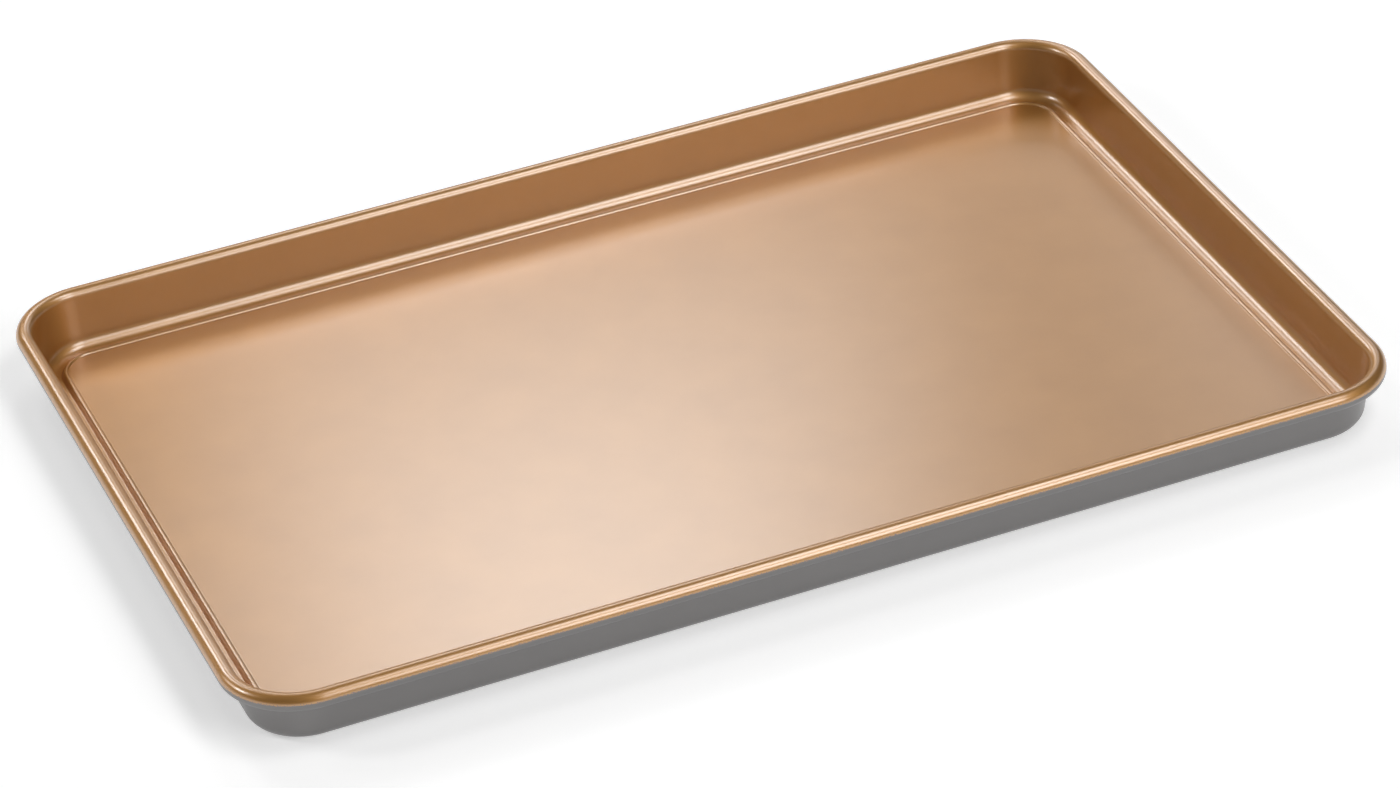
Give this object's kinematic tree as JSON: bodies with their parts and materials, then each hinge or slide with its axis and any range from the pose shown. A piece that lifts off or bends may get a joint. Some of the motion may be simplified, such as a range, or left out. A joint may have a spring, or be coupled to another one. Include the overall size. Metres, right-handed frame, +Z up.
{
  "type": "jelly roll pan",
  "caption": "Shallow rectangular jelly roll pan with rounded corners, leaning walls, a wired rolled rim, a raised floor panel with a low lip round it, a gold finish inside and a grey finish outside.",
  "frame": {"origin": "centre of the pan, at the height of the surface that it stands on", "axes": "+Z up out of the pan's opening, +X along its length, +Y along its width"},
  "size_m": [0.3992, 0.2722, 0.0216],
  "materials": {
    "bare_steel": "satin",
    "wire_steel": "satin",
    "gold_coating": "metallic satin non-stick coating",
    "grey_coating": "metallic satin grey coating"
  },
  "bodies": {
    "root": {"pan_shell": "bare_steel", "rim_wire": "wire_steel", "inner_coat": "gold_coating", "outer_coat": "grey_coating"}
  },
  "joints": []
}
